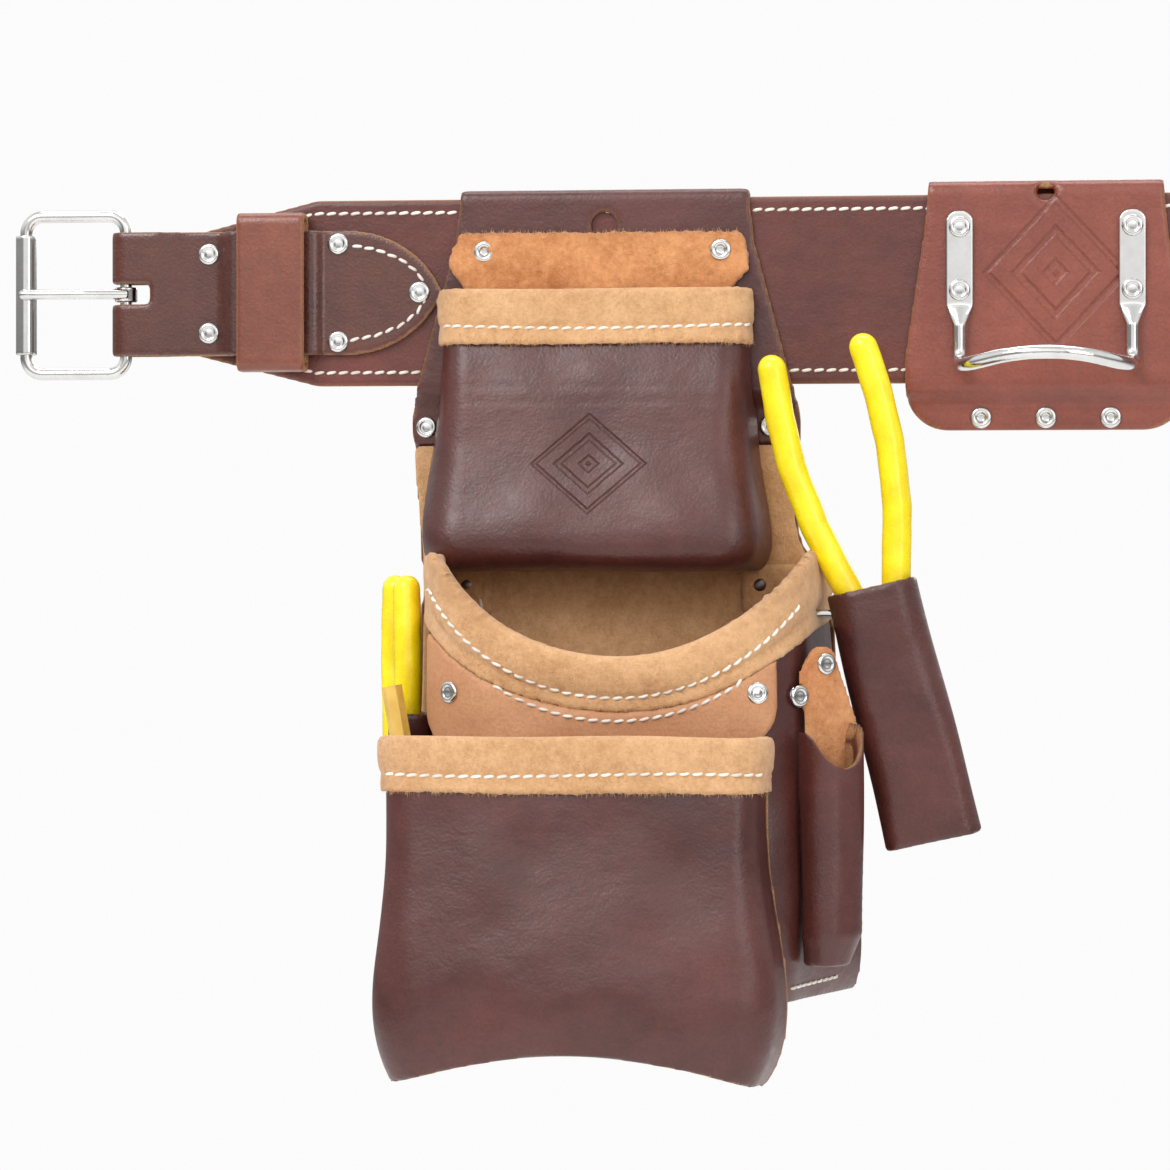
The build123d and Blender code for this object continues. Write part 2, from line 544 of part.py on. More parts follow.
def pliers(name, place, size, opening):
    """Pliers in their own X-Z plane, pivot at the origin, handles up; two lapped halves on a pin."""
    head_r = 11.0 * size
    half_t = 5.0 * size
    core_r = 3.4 * size
    grip_r = 5.2 * size
    line = [(-3.4, 7), (-7.3, 38), (-12.8, 68), (-14.4, 93), (-13.2, 113), (-10.6, 132)]

    def handle(points, radius, side):
        path = FilletPolyline(*[(side * x * size, 0, z * size) for x, z in points], radius=18 * size)
        rod = sweep(Plane(path @ 0, z_dir=path % 0) * Circle(radius), path=path)
        return rod + Pos(path @ 1) * Sphere(radius)

    for letter, side in (("a", 1), ("b", -1)):
        jaw = make_face(Polyline((side * 0.1, -8 * size), (side * 0.1, -54 * size), (side * 6 * size, -54 * size),
                                 (side * 10.5 * size, -18 * size), (side * 9.5 * size, -5 * size), close=True))
        blank = extrude(Plane.XZ.offset(-half_t) * jaw, amount=2 * half_t)
        blank += Rot(90, 0, 0) * Cylinder(head_r, 2 * half_t)
        core = handle(line, core_r, side)
        blank += core
        lap = Pos(0, side * (half_t - 0.05), 0) * Rot(90, 0, 0) * Cylinder(head_r + 0.3, 2 * half_t)
        blank -= lap
        blank -= Rot(90, 0, 0) * Cylinder(2.65 * size, 4 * half_t)
        start = (-7.3 + 0.3 * 3.9, 38 - 0.3 * 31)
        grip = handle([start] + line[1:], grip_r, side) - core
        opened = place * Rot(0, -side * opening, 0)
        PARTS[f"{name}_half_{letter}"] = opened * blank
        PARTS[f"{name}_grip_{letter}"] = opened * grip
    pin = Rot(90, 0, 0) * Cylinder(2.6 * size, 2 * half_t)
    for end in (-1, 1):
        pin += Pos(0, end * (half_t + 0.5), 0) * Rot(90, 0, 0) * Cylinder(4.0 * size, 0.8)
    PARTS[f"{name}_pivot_pin"] = place * pin


# ---------------------------------------------------------------- hammer holder

def make_hammer_holder():
    inner_top = HOLDER_TOP_Z - LEATHER
    leather = sheet_yz([(-LEATHER, HOLDER_BOTTOM_Z), (-LEATHER, inner_top), (FLAP_INNER_Y, inner_top),
                        (FLAP_INNER_Y, -39.2), (-LEATHER - 0.15, -45.6), (-LEATHER - 0.15, HOLDER_BOTTOM_Z)],
                       [2.0, 2.0, 2, 2], (-62, 62))
    leather &= plate(closed_outline([
        (-46.8, HOLDER_TOP_Z + 1), (46.8, HOLDER_TOP_Z + 1), (48.5, 25), (56.5, -28), (56, -57.0), (-56, -57.0),
        (-56.5, -28), (-48.5, 25)],
        [0.5, 0.5, 40, 18, 17, 17, 18, 40]), 1, 20)
    loop_places = [(x, z) for x in (-LOOP_TAB_X, LOOP_TAB_X) for z in LOOP_RIVET_Z]
    leather = drill(leather, [(0, HOLDER_TOP_Z - 4.5)], FLAP_INNER_Y - LEATHER, FLAP_INNER_Y - 1.2, 4.2)
    leather = drill(leather, loop_places, FLAP_INNER_Y - LEATHER, FLAP_INNER_Y)
    leather = counterbore(leather, loop_places, FLAP_INNER_Y)
    leather = drill(leather, HOLDER_RIVETS, TAIL_FRONT_Y, 0)
    PARTS["hammer_holder_leather"] = counterbore(leather, HOLDER_RIVETS, 0)
    PARTS["hammer_holder_rivets"] = rivets(HOLDER_RIVETS, TAIL_FRONT_Y, 0, sunk=True)

    # Steel loop: two riveted tabs that neck down to a wire, which runs forward into a bowed crossbar
    face_y = FLAP_INNER_Y - LEATHER - 0.05
    wire_y = face_y - LOOP_WIRE_R
    neck_z = -15.0
    tab_z = -7.5
    wire_path = FilletPolyline(
        (LOOP_TAB_X, wire_y, neck_z), (LOOP_TAB_X, wire_y, -31.5), (LOOP_TAB_X - 2, -48, -33), (0, -66, -26),
        (2 - LOOP_TAB_X, -48, -33), (-LOOP_TAB_X, wire_y, -31.5), (-LOOP_TAB_X, wire_y, neck_z),
        radius=[7, 20, 40, 20, 7])
    loop = sweep(Plane(wire_path @ 0, z_dir=wire_path % 0) * Circle(LOOP_WIRE_R), path=wire_path)
    tab = closed_outline([(-5.5, tab_z), (5.5, tab_z), (5.5, 31), (-5.5, 31)], [1, 1, 5, 5])
    for x in (-LOOP_TAB_X, LOOP_TAB_X):
        loop += Pos(x, 0, 0) * plate(tab, face_y, LOOP_TAB_T)
        loop += loft([Plane.XY.offset(neck_z) * Pos(x, wire_y) * Circle(LOOP_WIRE_R),
                      Plane.XY.offset(tab_z + 0.5) * Pos(x, face_y - LOOP_TAB_T / 2) * Rectangle(10.9, LOOP_TAB_T)])
    PARTS["hammer_loop"] = drill(loop, loop_places, face_y - LOOP_TAB_T, face_y)
    PARTS["hammer_loop_rivets"] = rivets(loop_places, face_y - LOOP_TAB_T, FLAP_INNER_Y, sunk=True)


def make_tools():
    right = Location(RIGHT_MOUTH) * Rot(0, -RIGHT_TILT, 0) * Pos(0, 0, -38)
    pliers("right_pliers", right, 1.0, 3.5)
    left = Location(LEFT_MOUTH) * Rot(0, 0, LEFT_TURN) * Pos(0, 0, -54)
    pliers("left_pliers", left, 0.78, 0.4)


make_belt()
make_buckle()
make_keeper()
make_bag_panel()
make_upper_pouch()
make_main_pouch()
make_front_pouch()
make_holders()
make_sheath()
make_hammer_holder()
make_tools()

os.makedirs("parts", exist_ok=True)
for node, shape in PARTS.items():
    export_step(shape, f"parts/{node}.step")
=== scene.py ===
import json
import math

import bmesh
import bpy
import numpy as np
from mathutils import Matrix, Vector
from mathutils.bvhtree import BVHTree


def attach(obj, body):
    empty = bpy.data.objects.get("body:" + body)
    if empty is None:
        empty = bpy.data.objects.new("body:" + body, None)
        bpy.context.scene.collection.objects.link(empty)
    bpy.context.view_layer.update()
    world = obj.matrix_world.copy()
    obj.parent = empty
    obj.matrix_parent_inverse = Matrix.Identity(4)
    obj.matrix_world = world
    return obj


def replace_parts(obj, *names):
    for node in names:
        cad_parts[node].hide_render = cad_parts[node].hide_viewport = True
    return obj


# Leather tool belt: what each part looks like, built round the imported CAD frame.
# Metres, +Z up, +X along the belt, the wearer behind at +Y.

MM = 0.001
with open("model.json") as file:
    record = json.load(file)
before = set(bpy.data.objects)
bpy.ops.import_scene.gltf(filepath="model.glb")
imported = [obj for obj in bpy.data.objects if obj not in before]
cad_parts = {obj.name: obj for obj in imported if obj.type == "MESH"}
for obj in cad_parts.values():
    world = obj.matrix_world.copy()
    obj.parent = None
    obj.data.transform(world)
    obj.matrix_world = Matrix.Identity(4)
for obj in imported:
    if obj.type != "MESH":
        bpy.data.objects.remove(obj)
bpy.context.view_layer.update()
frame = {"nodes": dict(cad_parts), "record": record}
nodes = frame["nodes"]


# ---------------------------------------------------------------- node graphs

class Graph:
    """Builds one material's node tree."""

    def __init__(self, name):
        self.material = bpy.data.materials.new(name)
        self.material.use_nodes = True
        self.tree = self.material.node_tree
        self.shader = self.tree.nodes["Principled BSDF"]
        self.place = self.add("TexCoord").outputs["Object"]

    def feed(self, socket, value):
        if isinstance(value, bpy.types.NodeSocket):
            self.tree.links.new(value, socket)
        else:
            socket.default_value = value

    def add(self, kind, settings=(), **inputs):
        node = self.tree.nodes.new("ShaderNode" + kind)
        for key, value in dict(settings).items():
            setattr(node, key, value)
        for key, value in inputs.items():
            self.feed(node.inputs[key.replace("_", " ")], value)
        return node

    def noise(self, size, detail=3.0, rough=0.55, stretch=None):
        """Noise with features about size metres across."""
        place = self.place
        if stretch:
            place = self.add("Mapping", Vector=place, Scale=stretch).outputs[0]
        node = self.add("TexNoise", Vector=place, Scale=1 / size, Detail=detail, Roughness=rough)
        return node.outputs[0]

    def cells(self, size):
        """Distance from the middles of rounded cells about size metres across."""
        settings = {"feature": "SMOOTH_F1"}
        node = self.add("TexVoronoi", settings, Vector=self.place, Scale=1 / size)
        return node.outputs["Distance"]

    def math(self, operation, a, b=0.0, clamp=False):
        node = self.add("Math", {"operation": operation, "use_clamp": clamp})
        self.feed(node.inputs[0], a)
        self.feed(node.inputs[1], b)
        return node.outputs[0]

    def weighted(self, *terms):
        """Sum of values, each times its own weight."""
        total = None
        for value, weight in terms:
            part = self.math("MULTIPLY", value, weight)
            total = part if total is None else self.math("ADD", total, part)
        return total

    def spread(self, value, low, high, to_low=0.0, to_high=1.0):
        node = self.add("MapRange", Value=value)
        limits = {"From Min": low, "From Max": high, "To Min": to_low, "To Max": to_high}
        for key, number in limits.items():
            node.inputs[key].default_value = number
        return node.outputs[0]

    def mix(self, share, a, b):
        node = self.add("Mix", {"data_type": "RGBA"})
        self.feed(node.inputs[0], share)
        self.feed(node.inputs[6], a if isinstance(a, bpy.types.NodeSocket) else (*a, 1))
        self.feed(node.inputs[7], b if isinstance(b, bpy.types.NodeSocket) else (*b, 1))
        return node.outputs[2]

    def mask(self, name):
        return self.add("Attribute", {"attribute_name": name}).outputs["Fac"]

    def bump(self, height, distance, below=None):
        node = self.add("Bump", Height=height, Distance=distance)
        if below is not None:
            self.feed(node.inputs["Normal"], below)
        return node.outputs[0]

    def finish(self, colour, roughness, normal=None, **direct):
        self.feed(self.shader.inputs["Base Color"], colour)
        self.feed(self.shader.inputs["Roughness"], roughness)
        if normal is not None:
            self.feed(self.shader.inputs["Normal"], normal)
        for key, value in direct.items():
            self.shader.inputs[key.replace("_", " ")].default_value = value
        return self.material


# ---------------------------------------------------------------- materials

FLESH_DARK = (0.40, 0.19, 0.085)
FLESH_LIGHT = (0.62, 0.34, 0.17)
EDGE_DARK = (0.22, 0.10, 0.045)
EDGE_LIGHT = (0.52, 0.27, 0.10)
MARK_DEPTH = 0.8 * MM
MARK_RINGS = 14.5                   # how tightly a pressed mark's lozenges nest
MARK_FRONT = (-8 * MM, -10 * MM)    # the mark fades in between these depths, so no back face has it


def tinted(colour, factor):
    return tuple(min(1.0, factor * c) for c in colour)


def leather(name, deep, bright, rough=0.36, emboss=None, coat=0.12, crease=0.32):
    """Grain side of dyed hide; the masks cut and flesh show its raw edge and its suede side."""
    g = Graph(name)
    cloud = g.noise(60 * MM, 2.5)
    mottle = g.noise(7 * MM, 4.0, 0.6)
    tone = g.spread(g.weighted((cloud, 0.7), (mottle, 0.3)), 0.34, 0.66)
    grain_side = g.mix(tone, deep, bright)
    pores = g.cells(1.1 * MM)
    in_pore = g.spread(pores, 0.25, 0.7, 0.0, 0.25)
    grain_side = g.mix(in_pore, grain_side, tinted(deep, 0.55))
    rubbed = g.math("MULTIPLY", g.mask("near_edge"), g.noise(9 * MM))
    worn = g.spread(rubbed, 0.12, 0.5, 0.0, 0.55)
    grain_side = g.mix(worn, grain_side, tinted(bright, 1.9))

    nap = g.noise(1.3 * MM, 5.0, 0.7)
    nap_tone = g.spread(g.weighted((nap, 0.5), (mottle, 0.5)), 0.38, 0.62)
    flesh_side = g.mix(nap_tone, FLESH_DARK, FLESH_LIGHT)
    fibres = g.noise(0.5 * MM, 3.0, 0.6)
    raw_edge = g.mix(g.spread(fibres, 0.35, 0.65), EDGE_DARK, EDGE_LIGHT)
    colour = g.mix(g.mask("flesh"), grain_side, flesh_side)
    colour = g.mix(g.mask("cut"), colour, raw_edge)

    scuffs = g.noise(6 * MM, 4.0, 0.6, (1.0, 1.0, 1.8))
    gloss = g.weighted((cloud, 0.5), (scuffs, 0.5))
    grain_rough = g.spread(gloss, 0.35, 0.65, rough - 0.04, rough + 0.09)
    bare = g.math("MAXIMUM", g.mask("flesh"), g.mask("cut"))
    roughness = g.math("ADD", grain_rough, g.math("MULTIPLY", bare, 0.5), clamp=True)

    creases = g.noise(9 * MM, 4.0, 0.5, (1.0, 1.0, 1.5))
    normal = g.bump(creases, crease * MM)
    normal = g.bump(g.math("MULTIPLY", pores, -1.0), 0.10 * MM, normal)
    normal = g.bump(g.math("MULTIPLY", nap, g.math("ADD", bare, 0.03)), 0.8 * MM, normal)
    if emboss:
        normal = g.bump(emboss(g), MARK_DEPTH, normal)
    return g.finish(colour, roughness, normal, Coat_Weight=coat, Coat_Roughness=0.28,
                    Specular_IOR_Level=0.5)


def suede(name, deep, bright, nap_size=1.5 * MM):
    """Split hide: soft mottled nap with paler scuffs and a darker, torn edge."""
    g = Graph(name)
    cloud = g.noise(26 * MM, 3.0)
    patch = g.noise(5 * MM, 5.0, 0.65)
    nap = g.noise(nap_size, 5.0, 0.72)
    fibre = g.noise(0.45 * MM, 3.0, 0.7)
    tone = g.weighted((cloud, 0.3), (patch, 0.35), (nap, 0.35))
    colour = g.mix(g.spread(tone, 0.38, 0.62), deep, bright)
    colour = g.mix(g.spread(fibre, 0.5, 0.75, 0.0, 0.35), colour, tinted(bright, 1.3))
    edge = g.math("MULTIPLY", g.mask("near_edge"), g.spread(nap, 0.3, 0.7))
    colour = g.mix(g.math("MULTIPLY", edge, 0.75), colour, tinted(deep, 0.62))
    normal = g.bump(patch, 0.9 * MM)
    normal = g.bump(nap, 0.7 * MM, normal)
    normal = g.bump(fibre, 0.35 * MM, normal)
    return g.finish(colour, g.spread(nap, 0.3, 0.7, 0.8, 1.0), normal, Sheen_Weight=0.25,
                    Sheen_Roughness=0.45, Specular_IOR_Level=0.2)


def metal(name, colour, rough, scratch=0.12, dirt=0.0):
    """Plated or bare metal with a faint haze and fine lines across its height."""
    g = Graph(name)
    haze = g.noise(9 * MM, 4.0, 0.6)
    lines = g.noise(1.6 * MM, 4.0, 0.6, (1.0, 1.0, 7.0))
    tint = g.mix(g.spread(haze, 0.35, 0.7, 0.0, 0.35 + dirt), colour, tinted(colour, 0.62))
    scratches = g.weighted((haze, 0.6), (lines, 0.4))
    roughness = g.spread(scratches, 0.35, 0.65, rough, rough + scratch)
    normal = g.bump(haze, 0.02 * MM)
    normal = g.bump(lines, 0.006 * MM, normal)
    return g.finish(tint, roughness, normal, Metallic=1.0)


def plastic(name, deep, bright, rough, coat=0.3):
    """Dipped vinyl, paint or thread: an even colour with faint runs and specks of dirt."""
    g = Graph(name)
    cloud = g.noise(16 * MM, 3.0)
    specks = g.noise(1.2 * MM, 4.0, 0.7)
    colour = g.mix(g.spread(cloud, 0.35, 0.65), deep, bright)
    colour = g.mix(g.spread(specks, 0.62, 0.8, 0.0, 0.3), colour, tinted(deep, 0.6))
    normal = g.bump(cloud, 0.5 * MM)
    normal = g.bump(specks, 0.06 * MM, normal)
    return g.finish(colour, g.spread(specks, 0.3, 0.7, rough, rough + 0.14), normal,
                    Coat_Weight=coat, Coat_Roughness=0.15)


def lozenge(x, z, width, height):
    """Pressed mark of nested lozenges round a centre, as a height for leather()."""
    def height_of(g):
        axes = g.add("SeparateXYZ", Vector=g.place).outputs
        off_x = g.math("DIVIDE", g.math("SUBTRACT", axes[0], x), width / 2)
        off_z = g.math("DIVIDE", g.math("SUBTRACT", axes[2], z), height / 2)
        reach = g.math("ADD", g.math("ABSOLUTE", off_x), g.math("ABSOLUTE", off_z))
        rings = g.math("SINE", g.math("MULTIPLY", reach, MARK_RINGS))
        rough_rings = g.math("ADD", rings, g.math("MULTIPLY", g.noise(4 * MM), 0.5))
        lines = g.spread(rough_rings, 0.45, 1.15)
        within = g.spread(reach, 0.98, 1.04, 1.0, 0.0)
        inside = g.math("MULTIPLY", within, g.spread(axes[1], *MARK_FRONT))
        return g.math("MULTIPLY", g.math("MULTIPLY", lines, inside), -1.0)
    return height_of


BAG_DEEP, BAG_BRIGHT = (0.052, 0.012, 0.010), (0.105, 0.026, 0.020)
POUCH_MARK = lozenge(-0.182, -0.071, 0.046, 0.040)
HOLDER_MARK = lozenge(0.004, 0.006, 0.058, 0.062)

MATERIALS = {
    "belt_leather": leather("belt_leather", (0.075, 0.014, 0.010), (0.150, 0.030, 0.020), 0.40),
    "strap_leather": leather("strap_leather", (0.055, 0.014, 0.009), (0.120, 0.030, 0.018), 0.24,
                             coat=0.35, crease=0.08),
    "keeper_leather": leather("keeper_leather", (0.150, 0.036, 0.020), (0.250, 0.068, 0.036),
                              0.30, coat=0.25, crease=0.12),
    "bag_leather": leather("bag_leather", BAG_DEEP, BAG_BRIGHT),
    "marked_leather": leather("marked_leather", BAG_DEEP, BAG_BRIGHT, emboss=POUCH_MARK),
    "holder_leather": leather("holder_leather", (0.170, 0.034, 0.020), (0.270, 0.062, 0.036),
                              0.34, HOLDER_MARK, coat=0.2),
    "apron_leather": leather("apron_leather", (0.47, 0.21, 0.095), (0.62, 0.31, 0.15), 0.50,
                             coat=0.05),
    "suede": suede("suede", (0.53, 0.27, 0.115), (0.80, 0.48, 0.25)),
    "tab_suede": suede("tab_suede", (0.46, 0.16, 0.05), (0.78, 0.37, 0.16), 2.2 * MM),
    "nickel": metal("nickel", (0.68, 0.675, 0.66), 0.09, 0.10),
    "dark_rivet": metal("dark_rivet", (0.16, 0.13, 0.12), 0.26, dirt=0.3),
    "tool_steel": metal("tool_steel", (0.42, 0.42, 0.43), 0.30, 0.2, 0.2),
    "grip_yellow": plastic("grip_yellow", (0.85, 0.62, 0.0), (0.98, 0.80, 0.01), 0.22),
    "pencil_yellow": plastic("pencil_yellow", (0.62, 0.36, 0.06), (0.85, 0.56, 0.12), 0.32),
    "graphite": plastic("graphite", (0.03, 0.03, 0.032), (0.06, 0.06, 0.065), 0.35, 0.0),
    "thread": plastic("thread", (0.66, 0.60, 0.52), (0.88, 0.84, 0.77), 0.62, 0.0),
}


# ---------------------------------------------------------------- meshes

def add_object(name, mesh, material, body, smooth=True):
    obj = bpy.data.objects.new(name, mesh)
    bpy.context.scene.collection.objects.link(obj)
    mesh.materials.clear()
    mesh.materials.append(MATERIALS[material])
    if smooth:
        mesh.polygons.foreach_set("use_smooth", [True] * len(mesh.polygons))
    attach(obj, body)
    return obj


def points_of(mesh):
    co = np.empty(len(mesh.vertices) * 3)
    mesh.vertices.foreach_get("co", co)
    return co.reshape(-1, 3)


def normals_of(mesh):
    n = np.empty(len(mesh.vertices) * 3)
    mesh.vertex_normals.foreach_get("vector", n)
    return n.reshape(-1, 3)


def neighbour_mean(values, edges):
    """Mean of each vertex's neighbours, for one number or a row of numbers a vertex."""
    count = len(values)
    share = np.bincount(edges.ravel(), minlength=count).clip(1)
    columns = values.reshape(count, -1)
    total = np.empty_like(columns)
    for k in range(columns.shape[1]):
        total[:, k] = (np.bincount(edges[:, 0], columns[edges[:, 1], k], count)
                       + np.bincount(edges[:, 1], columns[edges[:, 0], k], count))
    return (total / share[:, None]).reshape(values.shape)


def put_points(mesh, co):
    mesh.vertices.foreach_set("co", co.ravel())
    mesh.update()


def edges_of(mesh):
    e = np.empty(len(mesh.edges) * 2, np.int64)
    mesh.edges.foreach_get("vertices", e)
    return e.reshape(-1, 2)


def fine_copy(node, voxel):
    """Closed, evenly meshed copy of a CAD solid."""
    source = bpy.data.objects.new("source", nodes[node].data.copy())
    bpy.context.scene.collection.objects.link(source)
    remesh = source.modifiers.new("fine", "REMESH")
    remesh.mode = "VOXEL"
    remesh.voxel_size = voxel
    graph = bpy.context.evaluated_depsgraph_get()
    mesh = bpy.data.meshes.new_from_object(source.evaluated_get(graph))
    bpy.data.objects.remove(source)
    return mesh


def set_mask(mesh, name, values):
    attribute = mesh.attributes.new(name, "FLOAT", "POINT")
    attribute.data.foreach_set("value", values.astype(np.float32))


def surface_tree(mesh):
    return BVHTree.FromPolygons([v.co for v in mesh.vertices], [p.vertices for p in mesh.polygons])


def wave(points, length, seed):
    """Smooth seeded field from about -1 to 1 with that wavelength."""
    rng = np.random.default_rng(seed)
    total = np.zeros(len(points))
    for _ in range(7):
        direction = rng.normal(size=3)
        direction /= np.linalg.norm(direction)
        pace = 2 * math.pi / length / rng.uniform(0.7, 1.4)
        total += np.sin(points @ direction * pace + rng.uniform(0, 6.28))
    return total / 3.2


EASE_STEPS = (0.5, -0.52)       # each round smooths, then grows back what that shrank


def ease(mesh, rounds):
    """Rounds off a mesh's edges without shrinking it; gives its points and edges."""
    edges = edges_of(mesh)
    co = points_of(mesh)
    for _ in range(rounds):
        for step in EASE_STEPS:
            co += step * (neighbour_mean(co, edges) - co)
    put_points(mesh, co)
    return co, edges


# ---------------------------------------------------------------- leather and suede

SURFACES = {}           # each finished piece's surface, for the stitches and fibres that lie on it
INSET = 0.4             # a ray into the hide starts this far under its surface, in millimetres
EDGE_DEPTH = 1.9        # a ray that runs this many thicknesses went in through a cut edge
EDGE_ROUNDS = 6         # rounds that widen the worn band beside a cut edge
EDGE_FADE = 0.97
CUT_FLOOR, CUT_GAIN = 0.18, 4
TEAR_LENGTH = 3.5       # wavelength of a torn edge, in millimetres
# Pockets' closed bottoms aren't raw: only above this height, in metres, is an edge shown as cut
RAW_ABOVE = {"right_pliers_holder": -0.15, "left_pliers_holder": -0.185, "sheath_tube": -0.215,
             "pencil_sleeve": -0.2}


def soft_piece(node, name, material, body, thickness, voxel, shape=None, flesh=None, smooth=5,
               ragged=0.0, swell=None):
    """Stands for a CAD sheet part: fine mesh, eased edges, its own shape changes and edge masks."""
    sharp = surface_tree(nodes[node].data)
    mesh = fine_copy(node, voxel * MM)
    co, edges = ease(mesh, smooth)
    normals = normals_of(mesh)

    cut = np.zeros(len(co))
    for i, (point, normal) in enumerate(zip(co, normals)):
        into = -Vector(normal)
        hit = sharp.ray_cast(Vector(point) + into * INSET * MM, into)
        through_edge = hit[0] is not None and hit[3] > EDGE_DEPTH * thickness * MM
        cut[i] = 1.0 if through_edge else 0.0
    cut = neighbour_mean(cut, edges) * (co[:, 2] > RAW_ABOVE.get(node, -math.inf))
    near = cut.copy()
    for _ in range(EDGE_ROUNDS):
        near = np.maximum(near * EDGE_FADE, neighbour_mean(near, edges))
    cut = neighbour_mean(cut, edges)
    set_mask(mesh, "cut", np.clip((cut - CUT_FLOOR) * CUT_GAIN, 0, 1))
    set_mask(mesh, "near_edge", near)
    set_mask(mesh, "flesh", flesh(co, normals).astype(float) if flesh else np.zeros(len(co)))
    if ragged:
        co = co + normals * (near * wave(co, TEAR_LENGTH * MM, 5) * ragged * MM)[:, None]
    if swell:
        co = co + normals * (swell(co) * MM)[:, None]
    if shape:
        co = shape(co)
    put_points(mesh, co)
    obj = add_object(name, mesh, material, body)
    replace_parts(obj, node)
    SURFACES[name] = surface_tree(mesh)


def away_from(x, y):
    """Tells which vertices face a vertical axis at x, y: the inside of a pouch."""
    return lambda co, n: n[:, 0] * (co[:, 0] - x * MM) + n[:, 1] * (co[:, 1] - y * MM) < 0


def facing_back(co, n):
    return n[:, 1] > 0.45


BAG = "nail_bag"


def bag_folds(co):
    """Soft folds and sag of the hanging pouches, stronger away from the back."""
    out = co.copy()
    free = np.clip((-co[:, 1] - 0.012) / 0.04, 0, 1)
    out[:, 1] -= free * (0.9 * wave(co, 62 * MM, 1) + 0.35 * wave(co, 24 * MM, 2)) * MM
    out[:, 0] += free * 0.7 * wave(co, 70 * MM, 3) * MM
    out[:, 2] += free * 0.6 * wave(co, 80 * MM, 4) * MM
    return out


# The main pouch's dished mouth, in millimetres: centre x and z, radius, and the side walls' top
MAIN_MOUTH = (-166.5, -63.0, 88.0, -109.0)
SHEATH = (40, -88.4, -63.1)     # the nail-set sheath's turn about +Z in degrees, and its x and y


def below_main_mouth(co):
    """How far each point lies below the main pouch's dished mouth, in millimetres."""
    x, z, radius, side = MAIN_MOUTH
    below_dish = np.hypot(co[:, 0] / MM - x, co[:, 2] / MM - z) - radius
    return np.minimum(below_dish, side - co[:, 2] / MM)


def main_rim_puff(co):
    """Fatness of the main rim: it is pressed flat where the left pliers stand against it."""
    return 2.6 - 1.8 * np.clip((-237 - co[:, 0] / MM) / 6, 0, 1)


def roll(depth, puff, seam):
    """Swelling of a folded suede edge: a fat roll above its seam, and a thin free lip below."""
    t = np.clip((depth + 2.5) / (seam + 2.5), 0, 1)
    fat = puff * np.sqrt(np.clip(np.sin(math.pi * (0.16 + 0.84 * t)), 0, 1))
    lip = 0.22 * puff * np.clip((depth - seam) / 4.0, 0, 1)
    return np.where(depth < seam, fat, lip)


def narrow_back(co):
    """Below its tab the upper pouch's back keeps inside the front's edges."""
    out = co.copy()
    middle = -181.5 * MM
    hidden = np.clip((-4 - co[:, 2] / MM) / 10, 0, 1)
    out[:, 0] = middle + (co[:, 0] - middle) * (1 - 0.05 * hidden)
    out[:, 1] -= 0.9 * np.clip((co[:, 2] / MM + 2) / 10, 0, 1) * wave(co, 30 * MM, 21) * MM
    return out


def scooped_mouth(co):
    """The sheath's mouth dips at its front, so its suede back and raw edge show."""
    out = bag_folds(co)
    degrees, sheath_x, sheath_y = SHEATH
    c, s = math.cos(math.radians(degrees)), math.sin(math.radians(degrees))
    x = (co[:, 0] / MM - sheath_x) * c + (co[:, 1] / MM - sheath_y) * s
    near_top = np.clip((co[:, 2] / MM + 202) / 24, 0, 1)
    out[:, 2] -= 13 * np.clip(1 - ((x + 1) / 14) ** 2, 0, 1) * near_top * MM
    out[:, 2] += 5 * np.clip((np.abs(x) - 9) / 5, 0, 1) * near_top * MM
    return out


def tucked_pocket(co):
    """The left pocket lies pressed against the gusset, out of sight behind the front pouch."""
    out = bag_folds(co)
    gusset = -251 * MM
    out[:, 0] = np.where(out[:, 0] < gusset, gusset + (out[:, 0] - gusset) * 0.72, out[:, 0])
    return out


def front_bulge(co):
    """The front pouch belled by its load: its lower sides out and its belly forward."""
    out = bag_folds(co)
    x, z = co[:, 0] / MM + 180, co[:, 2] / MM
    belly = np.exp(-((z + 285) / 42) ** 2)
    out[:, 0] += np.sign(x) * np.clip(np.abs(x) / 75, 0, 1) ** 3 * belly * 2.5 * MM
    front = np.clip((-co[:, 1] / MM - 92) / 20, 0, 1)
    out[:, 1] -= np.clip(1 - (x / 66) ** 2, 0, 1) * belly * 2.5 * front * MM
    return out


HOLDER = "hammer_holder"
BUCKLE_STRAP = "buckle_strap_leather"
TONGUE_STRAP = "tongue_strap_leather"
UPPER_RIM, MAIN_RIM, FRONT_RIM = (f"{word}_pouch_rim_suede" for word in ("upper", "main", "front"))

